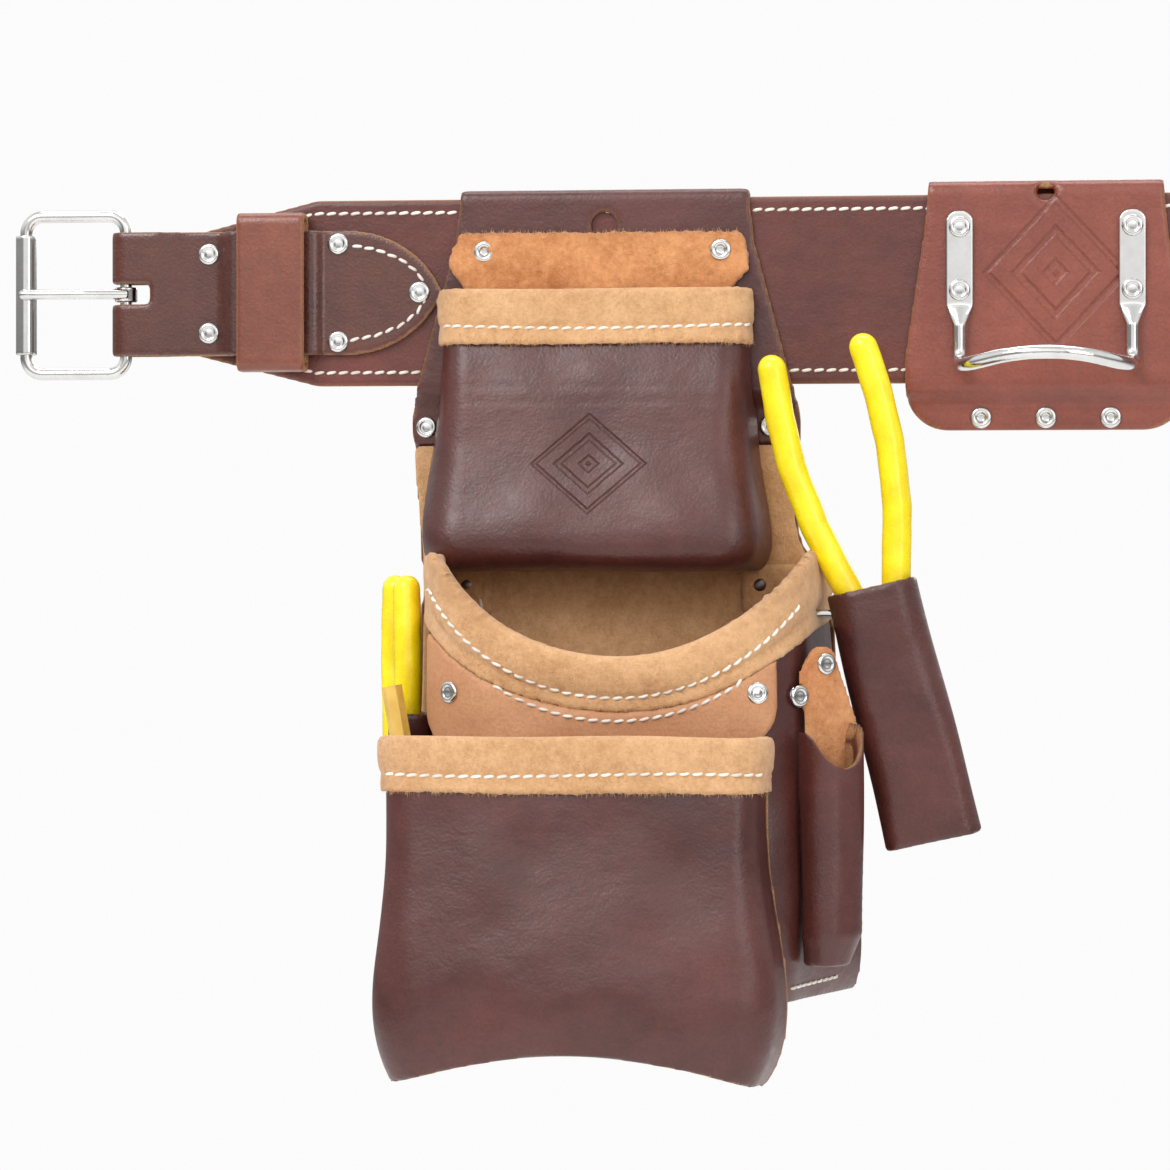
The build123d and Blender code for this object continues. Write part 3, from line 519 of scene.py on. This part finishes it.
# CAD node, piece, material, body, thickness and voxel in millimetres, shape, flesh side, and then
# rounds of smoothing and raggedness where they aren't the usual ones
SOFT = (
    ("belt_lining", "belt_back_leather", "belt_leather", "belt", 3.0, 1.2, None, facing_back),
    ("belt_outer_layer", "belt_front_leather", "belt_leather", "belt", 3.0, 1.2),
    ("buckle_strap", BUCKLE_STRAP, "strap_leather", "belt", 3.0, 1.2),
    ("tongue_strap", TONGUE_STRAP, "strap_leather", "belt", 3.0, 1.3),
    ("keeper_loop", "keeper_leather", "keeper_leather", "keeper", 3.0, 1.1, None,
     away_from(-314.5, -16.3)),
    ("bag_hanging_panel", "bag_back_leather", "bag_leather", BAG, 3.0, 1.5, None, facing_back),
    ("bag_suede_lining", "bag_lining", "suede", BAG, 3.0, 1.5),
    ("upper_pouch_back", "upper_pouch_back_suede", "tab_suede", BAG, 3.0, 1.2, narrow_back, None,
     4, 0.7),
    ("upper_pouch_front", "upper_pouch_leather", "marked_leather", BAG, 3.0, 1.3, bag_folds,
     away_from(-180, -25)),
    ("main_pouch_shell", "main_pouch_leather", "bag_leather", BAG, 3.0, 1.5, bag_folds,
     away_from(-168, -30)),
    ("front_apron", "front_apron_leather", "apron_leather", BAG, 3.0, 1.3, bag_folds),
    ("front_pouch_shell", "front_pouch_leather", "bag_leather", BAG, 3.0, 1.5, front_bulge,
     away_from(-180, -100)),
    ("right_pliers_holder", "right_pliers_pocket", "bag_leather", BAG, 2.6, 1.2, bag_folds),
    ("left_pliers_holder", "left_pliers_pocket", "bag_leather", BAG, 2.6, 1.2, tucked_pocket),
    ("sheath_back", "knife_sheath_back", "tab_suede", BAG, 2.6, 1.2, bag_folds),
    ("sheath_tube", "knife_sheath_leather", "bag_leather", BAG, 2.6, 1.1, scooped_mouth),
    ("pencil_sleeve", "pencil_pocket", "bag_leather", BAG, 1.8, 0.9, bag_folds),
    ("hammer_holder_leather", "hammer_holder_hide", "holder_leather", HOLDER, 3.0, 1.3, None,
     facing_back),
)
for row in SOFT:
    soft_piece(*row)


def upper_roll(co):
    return roll(-0.9 - co[:, 2] / MM, 1.5, 13.5)


def main_roll(co):
    return roll(below_main_mouth(co), main_rim_puff(co), 12.5)


def front_roll(co):
    return roll(-179.5 - co[:, 2] / MM, 1.7, 12.5)


for node, name, swell in (
        ("upper_pouch_binding", UPPER_RIM, upper_roll), ("main_pouch_rim", MAIN_RIM, main_roll),
        ("front_pouch_binding", FRONT_RIM, front_roll)):
    soft_piece(node, name, "suede", BAG, 1.5, 1.0, bag_folds, smooth=3, ragged=0.9, swell=swell)


# ---------------------------------------------------------------- metalwork

def smooth_metal(node, name, material, body, voxel, smooth=4):
    """Turned, bent or forged metal: fine mesh with its edges broken."""
    mesh = fine_copy(node, voxel * MM)
    ease(mesh, smooth)
    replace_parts(add_object(name, mesh, material, body), node)


# CAD node, piece, material, body, voxel in millimetres, and rounds of smoothing if not the usual
for row in (
        ("buckle_frame", "buckle_frame_wire", "nickel", "buckle", 0.55),
        ("buckle_roller", "buckle_roller_tube", "nickel", "roller", 0.5, 6),
        ("buckle_prong", "buckle_prong_wire", "nickel", "prong", 0.45),
        ("hammer_loop", "hammer_loop_wire", "nickel", HOLDER, 0.6)):
    smooth_metal(*row)


# ---------------------------------------------------------------- dipped grips

GRIP_VOXEL = 0.9
GRIP_SWELL = {"right": 0.6, "left": 1.5}    # how far each pair's skin stands out, in mm


def swollen_grip(node, name, body, swell):
    """Vinyl-dipped handle: slightly swollen, lumpy skin with a thick lip at its lower end."""
    mesh = fine_copy(node, GRIP_VOXEL * MM)
    co, _ = ease(mesh, 3)
    low = co[:, 2].min()
    lip = np.exp(-((co[:, 2] - low - 4 * MM) / (3 * MM)) ** 2)
    grow = (swell + 0.5 * lip + 0.15 * wave(co, 14 * MM, 11)) * MM
    put_points(mesh, co + normals_of(mesh) * grow[:, None])
    obj = add_object(name, mesh, "grip_yellow", body)
    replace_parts(obj, node)


for side, swell in GRIP_SWELL.items():
    for half in "ab":
        swollen_grip(f"{side}_pliers_grip_{half}", f"{side}_pliers_dipped_grip_{half}",
                     f"{side}_pliers_{half}", swell)


# ---------------------------------------------------------------- stitches

STITCH_PITCH = 5.0 * MM
STITCH_LENGTH = 4.1 * MM
THREAD_R = 0.62 * MM
STITCH_SLANT = 0.16     # sideways run of a stitch for its length
RAY_BACK = 60           # rays onto a surface start this far back from their line, in millimetres
RIBBON = 1.0            # spacing of those rays along it, in millimetres
FRONT = (0, 1, 0)       # straight into the front of the belt


def along(rows, step):
    """Rows resampled every step along the polyline of their first three numbers, and its runs."""
    rows = np.asarray(rows, float)
    legs = np.linalg.norm(np.diff(rows[:, :3], axis=0), axis=1)
    run = np.concatenate([[0], np.cumsum(legs)])
    at = np.arange(step / 2, run[-1], step)

    def pick(where):
        return np.stack([np.interp(where, run, column) for column in rows.T], 1)

    return pick(at), (pick(at + 0.3 * step) - pick(at - 0.3 * step))[:, :3]


def on_surface(names, origin, aim):
    """Nearest hit of a ray on those pieces: (point, normal) or None."""
    best = None
    for name in names:
        hit = SURFACES[name].ray_cast(Vector(origin), Vector(aim))
        if hit[0] is not None and (best is None or hit[3] < best[2]):
            best = (np.array(hit[0]), np.array(hit[1]), hit[3])
    return best


def stitch_mesh(rows):
    """Lock stitches: each is a short slanting bead that dives into the leather at both ends."""
    verts, faces = [], []
    rings, sides = 7, 6
    for centre, normal, run in rows:
        run = run - normal * run.dot(normal)
        run /= np.linalg.norm(run)
        across = np.cross(normal, run)
        run = run + STITCH_SLANT * across
        across = np.cross(normal, run)
        base = len(verts)
        for i in range(rings):
            t = i / (rings - 1)
            thick = THREAD_R * (0.55 + 0.45 * math.sin(math.pi * t) ** 0.5)
            lift = THREAD_R * (1.15 * math.sin(math.pi * t) ** 0.7 - 0.55)
            middle = centre + run * (t - 0.5) * STITCH_LENGTH + normal * lift
            for k in range(sides):
                a = 2 * math.pi * k / sides
                sideways = across * math.cos(a) * thick * 1.1
                verts.append(middle + sideways + normal * math.sin(a) * thick)
        for i in range(rings - 1):
            for k in range(sides):
                a, b = base + i * sides + k, base + i * sides + (k + 1) % sides
                faces.append((a, a + sides, b + sides, b))
        faces.append(tuple(base + k for k in range(sides)))
        faces.append(tuple(base + (rings - 1) * sides + k for k in reversed(range(sides))))
    mesh = bpy.data.meshes.new("stitches")
    mesh.from_pydata([tuple(v) for v in verts], [], faces)
    return mesh


def stitch_line(name, body, onto, points, aim):
    """Stitches on named pieces, along the line where rays through points, along aim, meet them."""
    aims = np.broadcast_to(np.asarray(aim, float), (len(points), 3))
    rays = np.hstack([np.asarray(points, float), aims])
    hits = []
    for row in along(rays, RIBBON * MM)[0]:
        aim = row[3:] / np.linalg.norm(row[3:])
        hit = on_surface(onto, row[:3] - aim * RAY_BACK * MM, aim)
        if hit is not None:
            hits.append((*hit[0], *(hit[1] if hit[1].dot(aim) < 0 else -hit[1])))
    places, runs = along(hits, STITCH_PITCH)
    rows = [(row[:3], row[3:] / np.linalg.norm(row[3:]), run) for row, run in zip(places, runs)]
    add_object(name, stitch_mesh(rows), "thread", body)


def flat_line(*corners):
    """Polyline in X-Z, in millimetres, as points in front of everything."""
    return [(x * MM, -90 * MM, z * MM) for x, z in corners]


for sign, word in ((1, "upper"), (-1, "lower")):
    stitch_line(f"belt_stitches_{word}", "belt", ["belt_front_leather", "belt_back_leather"],
                flat_line((-341, sign * 21), (-298, sign * 32.6), (297, sign * 32.6),
                          (341, sign * 21)), FRONT)
UPPER_ARC = [(-283, 19.5), (-272, 17.5), (-262, 13.5), (-255, 8)]
PATCH = UPPER_ARC + [(-250.5, 0)] + [(x, -z) for x, z in reversed(UPPER_ARC)]
stitch_line("buckle_patch_stitches", "belt", [BUCKLE_STRAP], flat_line(*PATCH), FRONT)
stitch_line("tongue_patch_stitches", "belt", [TONGUE_STRAP],
            flat_line(*[(-x, z) for x, z in PATCH]), FRONT)


def main_mouth(x):
    """Height of the main pouch's dished mouth at x, in millimetres."""
    centre_x, centre_z, radius, side = MAIN_MOUTH
    reach = min(abs(x - centre_x), 75.0)
    return min(centre_z - math.sqrt(radius ** 2 - reach ** 2), side)


def front_line(x_from, x_to, z_of):
    """Line in front of the pouches from one x to another, in millimetres, at z_of's height."""
    return [(x * MM, -150 * MM, z_of(x) * MM) for x in np.linspace(x_from, x_to, 60)]


def turned_line(corners, degrees, x, y):
    """Line of (x, y, z) in millimetres, in a frame at x, y that is turned about +Z."""
    c, s = math.cos(math.radians(degrees)), math.sin(math.radians(degrees))
    return [((x + a * c - b * s) * MM, (y + a * s + b * c) * MM, z * MM) for a, b, z in corners]


def inward(degrees):
    """Direction straight into a surface that is turned by that angle about +Z."""
    return (-math.sin(math.radians(degrees)), math.cos(math.radians(degrees)), 0)


def upper_seam(x):
    return -14.6 - 1.6 * math.cos((x + 181) / 42)


def front_seam(x):
    return -192.2 - 0.7 * math.sin((x + 250) / 24)


def main_seam(x):
    return main_mouth(x) - 12.6


def apron_seam(x):
    """Sits a little lower in the middle of the apron than at its ends."""
    return main_mouth(x) - 21.5 if abs(x + 168) < 50 else main_mouth(x) - 20


for name, onto, x_from, x_to, seam in (
        ("upper_rim_stitches", UPPER_RIM, -243.5, -118.5, upper_seam),
        ("front_rim_stitches", FRONT_RIM, -253, -107, front_seam),
        ("main_rim_stitches", MAIN_RIM, -244, -94, main_seam),
        ("apron_stitches", "front_apron_leather", -230, -108, apron_seam)):
    stitch_line(name, BAG, [onto], front_line(x_from, x_to, seam), FRONT)
stitch_line("sheath_welt_stitches", BAG, ["knife_sheath_leather"],
            turned_line(((14.9, -20, -184), (14.9, -20, -254)), *SHEATH), inward(SHEATH[0]))
stitch_line("gusset_stitches", BAG, ["main_pouch_leather"],
            turned_line(((-14, -40, -277), (26, -40, -276)), *SHEATH), inward(SHEATH[0]))
TAB_Y = 45 * MM         # rays start RAY_BACK in front of this, inside the pouch
for x in (-236.5, -229.5, -112.5, -105):
    stitch_line(f"rim_tab_stitches_{round(-x)}", BAG,
                [MAIN_RIM, "main_pouch_leather", "bag_lining"],
                ((x * MM, TAB_Y, -124 * MM), ((x + 0.5) * MM, TAB_Y, -140 * MM)), FRONT)


# ---------------------------------------------------------------- torn suede fibres

FRINGE_DEPTH = 0.135    # a ray that goes this many metres past its line has missed the edge


def fringe(name, onto, points, count, seed, droop=(0, 0, -1)):
    """Fine fibres out of a torn suede edge: thin cones along a line, leaning by chance."""
    rng = np.random.default_rng(seed)
    verts, faces = [], []
    rows = along(points, 0.4 * MM)[0]
    for row in rows[np.sort(rng.integers(0, len(rows), count))]:
        start = row + rng.normal(size=3) * np.array([0.5, 0, 0.5]) * MM
        hit = on_surface([onto], start, FRONT)
        if hit is None or hit[0][1] > row[1] + FRINGE_DEPTH:
            continue
        heading = np.array(droop) + rng.normal(size=3) * 0.5 + hit[1] * rng.uniform(0.0, 0.5)
        heading /= np.linalg.norm(heading)
        side = np.cross(heading, (0.3, 1.0, 0.2))
        side /= np.linalg.norm(side)
        other = np.cross(heading, side)
        length, thick = rng.uniform(0.7, 2.6) * MM, rng.uniform(0.07, 0.16) * MM
        base = len(verts)
        for k in range(3):
            a = 2 * math.pi * k / 3
            spoke = (side * math.cos(a) + other * math.sin(a)) * thick
            verts.append(hit[0] - heading * 0.3 * MM + spoke)
        verts.append(hit[0] + heading * length)
        faces += [(base, base + 1, base + 3), (base + 1, base + 2, base + 3),
                  (base + 2, base, base + 3), (base + 2, base + 1, base)]
    mesh = bpy.data.meshes.new(name)
    mesh.from_pydata([tuple(v) for v in verts], [], faces)
    add_object(name, mesh, "suede", BAG, smooth=False)


fringe("upper_rim_fibres", UPPER_RIM, front_line(-245, -117, lambda x: -21.6), 650, 31)
fringe("front_rim_fibres", FRONT_RIM, front_line(-254, -106, lambda x: -198.6), 700, 32)
fringe("main_rim_fibres", MAIN_RIM, front_line(-240, -98, lambda x: main_mouth(x) - 17.6), 500, 33)
fringe("tab_top_fibres", "upper_pouch_back_suede", front_line(-236, -123, lambda x: 23.0), 520,
       34, (0, -0.2, 1))


# ---------------------------------------------------------------- rivets

def islands(node):
    """Vertex groups of a node's separate solids, each as an array of points."""
    mesh = nodes[node].data
    co = points_of(mesh)
    parent = np.arange(len(co))

    def root(i):
        while parent[i] != i:
            parent[i] = parent[parent[i]]
            i = parent[i]
        return i

    merge = {}
    for i, c in enumerate(np.round(co, 6)):
        parent[root(i)] = root(merge.setdefault(tuple(c), i))
    for a, b in edges_of(mesh):
        parent[root(a)] = root(b)
    groups = {}
    for i in range(len(co)):
        groups.setdefault(root(i), []).append(co[i])
    return [np.array(g) for g in groups.values()]


# Rivet head outlines: (radius, height above the leather) in millimetres, from rim to centre
CAP_HEAD = ((4.2, 0.0), (4.35, 0.25), (4.3, 0.6), (4.0, 0.95), (3.5, 1.15), (3.0, 1.2),
            (2.6, 1.1), (2.35, 0.85), (2.1, 0.8), (1.3, 1.0), (0.0, 1.1))
EYELET_HEAD = ((4.2, 0.0), (4.35, 0.3), (4.2, 0.75), (3.8, 1.1), (3.2, 1.25), (2.6, 1.15),
               (2.1, 0.85), (1.75, 0.45), (1.6, 0.2), (1.1, 0.15), (0.0, 0.12))
DOME_HEAD = ((4.3, 0.0), (4.45, 0.25), (4.4, 0.55), (4.1, 0.75), (3.75, 0.75), (3.5, 0.8),
             (3.2, 1.15), (2.5, 1.7), (1.5, 2.05), (0.0, 2.2))
AROUND = 36             # sides of a turned head


def turned(profile, place, out, mesh_data):
    """Adds a solid turned from its profile, standing at place with its axis along out."""
    verts, faces = mesh_data
    side = np.cross(out, (0, 0, 1.0))
    side /= np.linalg.norm(side)
    up = np.cross(side, out)
    base, around = len(verts), AROUND
    for radius, height in profile[:-1]:
        for k in range(around):
            a = 2 * math.pi * k / around
            spoke = (side * math.cos(a) + up * math.sin(a)) * radius * MM
            verts.append(place + spoke + out * height * MM)
    verts.append(place + out * profile[-1][1] * MM)
    tip = len(verts) - 1
    rings = len(profile) - 1
    for i in range(rings - 1):
        for k in range(around):
            a, b = base + i * around + k, base + i * around + (k + 1) % around
            faces.append((a, b, b + around, a + around))
    last = base + (rings - 1) * around
    for k in range(around):
        faces.append((last + k, last + (k + 1) % around, tip))
    faces.append(tuple(base + k for k in reversed(range(around))))


def facing(degrees):
    """Outward direction of a rivet turned by that angle about +Z."""
    a = math.radians(degrees)
    return np.array([math.sin(a), -math.cos(a), 0.0])


CAD_HEAD = 1.6          # how far the CAD rivet's head stands above its leather, in millimetres
WASHER = 0.8            # thickness of the washer at the shank's end


def dress_rivets(node, body, profile, material, turns=(0.0,)):
    """Whole rivets in place of a node's, from left to right, each facing its turn about +Z."""
    verts, faces = [], []
    found = sorted(islands(node), key=lambda group: group[:, 0].mean())
    for number, group in enumerate(found):
        out = facing(turns[number % len(turns)])
        reach = group @ out
        head = group[reach > reach.max() - CAD_HEAD * MM]
        place = (head.min(0) + head.max(0)) / 2
        place += out * (reach.max() - CAD_HEAD * MM - place @ out)
        tail = (reach.min() - reach.max()) / MM + CAD_HEAD
        shank = ((0.9, tail), (3.3, tail), (3.5, tail + 0.15), (3.5, tail + WASHER),
                 (1.7, tail + WASHER), (1.7, -0.1))
        turned(shank + profile, place, out, (verts, faces))
    mesh = bpy.data.meshes.new(node + "_turned")
    mesh.from_pydata([tuple(v) for v in verts], [], faces)
    obj = add_object(node + "_turned", mesh, material, body)
    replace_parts(obj, node)


for row in (
        ("buckle_end_rivets", "belt", CAP_HEAD, "nickel"),
        ("tongue_rivets", "belt", CAP_HEAD, "nickel"),
        ("tunnel_rivets", BAG, CAP_HEAD, "nickel"),
        ("upper_pouch_rivets", BAG, EYELET_HEAD, "nickel"),
        ("rim_rivets", BAG, DOME_HEAD, "dark_rivet"),
        ("apron_rivets", BAG, CAP_HEAD, "nickel", (-37.0, 23.7)),
        ("sheath_rivets", BAG, CAP_HEAD, "nickel", (SHEATH[0],)),
        ("hammer_holder_rivets", HOLDER, EYELET_HEAD, "nickel"),
        ("hammer_loop_rivets", HOLDER, CAP_HEAD, "nickel")):
    dress_rivets(*row)

# CAD solids that still show take the material their slot names
for part in frame["record"]["subparts"]:
    shown = nodes[part["node"]]
    if not shown.hide_render:
        shown.data.materials.clear()
        shown.data.materials.append(MATERIALS[part["material_slot"]])


# ---------------------------------------------------------------- stage

FLOOR_Z, FLOOR_RADIUS = -0.80, 2.5
BACKDROP = 0.97
# Studio brightness that lights and reflects, from straight below (0) to straight above (1)
SKY = ((0.0, 0.55), (0.36, 0.75), (0.44, 0.42), (0.50, 0.16), (0.56, 0.48), (0.66, 1.0),
       (0.80, 1.15), (1.0, 0.7))
MIDDLE = (-0.15, 0, -0.1)
LIGHTS = (
    ("key", (-1.3, -2.2, 1.7), MIDDLE, (1.4, 1.4), 42),
    ("fill", (1.7, -2.4, 0.6), MIDDLE, (1.2, 1.8), 16),
    ("front", (-0.2, -2.9, 0.5), (-0.18, 0, -0.15), (2.4, 1.6), 9),
    ("top", (-0.1, 0.3, 2.2), MIDDLE, (2.0, 1.0), 24),
    ("back", (0.4, 2.4, 0.9), MIDDLE, (2.0, 1.4), 16),
)
CAMERA_AT, CAMERA_AIM = (0.0, -1.706, -0.1196), (-0.187, -0.006, -0.1196)
LENS, SENSOR = 128.9, 36.0


def area_light(name, place, aim, size, power):
    light = bpy.data.lights.new(name, "AREA")
    light.shape = "RECTANGLE"
    light.size, light.size_y = size
    light.energy = power
    obj = bpy.data.objects.new(name, light)
    obj.location = place
    obj.rotation_euler = (Vector(aim) - Vector(place)).to_track_quat("-Z", "Y").to_euler()
    bpy.context.scene.collection.objects.link(obj)


def make_stage():
    mesh = bpy.data.meshes.new("floor")
    disc = bmesh.new()
    bmesh.ops.create_circle(disc, cap_ends=True, segments=96, radius=FLOOR_RADIUS)
    disc.to_mesh(mesh)
    disc.free()
    floor = bpy.data.objects.new("floor", mesh)
    floor.location = (0, 0, FLOOR_Z)
    g = Graph("floor")
    pale = g.mix(g.noise(0.4), (0.80, 0.80, 0.79), (0.84, 0.84, 0.83))
    mesh.materials.append(g.finish(pale, 0.7))
    bpy.context.scene.collection.objects.link(floor)

    world = bpy.data.worlds.new("studio")
    bpy.context.scene.world = world
    world.use_nodes = True
    tree = world.node_tree
    place = tree.nodes.new("ShaderNodeTexCoord")
    axes = tree.nodes.new("ShaderNodeSeparateXYZ")
    ramp = tree.nodes.new("ShaderNodeValToRGB")
    level = tree.nodes.new("ShaderNodeMapRange")
    level.inputs["From Min"].default_value = -1.0
    tree.links.new(place.outputs["Generated"], axes.inputs[0])
    tree.links.new(axes.outputs[2], level.inputs["Value"])
    tree.links.new(level.outputs[0], ramp.inputs[0])
    stops = ramp.color_ramp.elements
    stops.remove(stops[1])
    for number, (at, grey) in enumerate(SKY):
        stop = stops[0] if number == 0 else stops.new(at)
        stop.position = at
        stop.color = (grey, grey, grey, 1)
    studio = tree.nodes["Background"]
    tree.links.new(ramp.outputs[0], studio.inputs["Color"])
    backdrop = tree.nodes.new("ShaderNodeBackground")
    backdrop.inputs["Color"].default_value = (BACKDROP, BACKDROP, BACKDROP, 1)
    path = tree.nodes.new("ShaderNodeLightPath")
    choose = tree.nodes.new("ShaderNodeMixShader")
    tree.links.new(path.outputs["Is Camera Ray"], choose.inputs[0])
    tree.links.new(studio.outputs[0], choose.inputs[1])
    tree.links.new(backdrop.outputs[0], choose.inputs[2])
    tree.links.new(choose.outputs[0], tree.nodes["World Output"].inputs["Surface"])

    for row in LIGHTS:
        area_light(*row)


def make_camera():
    camera = bpy.data.objects.new("camera", bpy.data.cameras.new("camera"))
    place, target = Vector(CAMERA_AT), Vector(CAMERA_AIM)
    camera.location = place
    camera.rotation_euler = (target - place).to_track_quat("-Z", "Y").to_euler()
    camera.data.lens = LENS
    camera.data.sensor_width = SENSOR
    bpy.context.scene.collection.objects.link(camera)
    bpy.context.scene.camera = camera


make_stage()
make_camera()
bpy.context.scene.view_settings.view_transform = "Standard"
